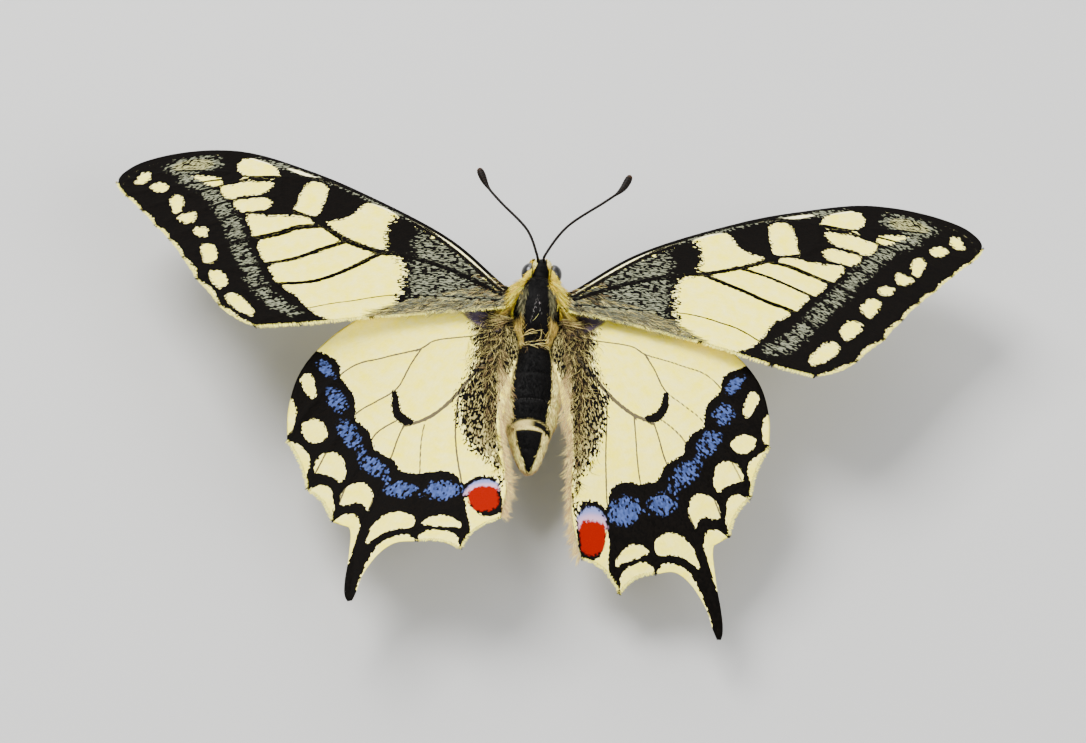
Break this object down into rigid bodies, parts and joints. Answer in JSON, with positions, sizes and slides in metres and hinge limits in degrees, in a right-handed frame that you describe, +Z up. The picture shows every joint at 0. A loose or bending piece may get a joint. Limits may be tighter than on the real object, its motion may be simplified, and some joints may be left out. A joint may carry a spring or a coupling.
{
  "type": "butterfly model",
  "caption": "Swallowtail butterfly at rest with its wings spread, standing on its feet; a still life-size display model.",
  "frame": {"origin": "middle of the bounding box, on the floor that the feet stand on", "axes": "+Y towards the head, +X towards the right wings, +Z up"},
  "size_m": [0.0874, 0.0518, 0.0145],
  "materials": {
    "head": "short dark fur with a pale yellow brow",
    "thorax": "black fur with golden shoulder bands and pale stripes",
    "abdomen": "black fur band along the back, cream-yellow fur at the sides",
    "eye": "glossy, finely faceted",
    "antenna": "ringed, satin black",
    "palp": "cream fur",
    "proboscis": "satin dark brown",
    "forewing": "powdery scales, cream-yellow cells between black veins and bands",
    "hindwing": "powdery scales, cream-yellow with a black band, blue dusting and a red eyespot",
    "leg": "satin, dark brown with pale scales"
  },
  "bodies": {
    "root": {"head": "head", "thorax": "thorax", "abdomen": "abdomen", "eye_left": "eye", "eye_right": "eye", "antenna_left": "antenna", "antenna_right": "antenna", "palp_left": "palp", "palp_right": "palp", "proboscis": "proboscis", "forewing_left": "forewing", "forewing_right": "forewing", "hindwing_left": "hindwing", "hindwing_right": "hindwing", "femur_fore_left": "leg", "tibia_fore_left": "leg", "tarsus_fore_left": "leg", "femur_fore_right": "leg", "tibia_fore_right": "leg", "tarsus_fore_right": "leg", "femur_mid_left": "leg", "tibia_mid_left": "leg", "tarsus_mid_left": "leg", "femur_mid_right": "leg", "tibia_mid_right": "leg", "tarsus_mid_right": "leg", "femur_hind_left": "leg", "tibia_hind_left": "leg", "tarsus_hind_left": "leg", "femur_hind_right": "leg", "tibia_hind_right": "leg", "tarsus_hind_right": "leg"}
  },
  "joints": []
}
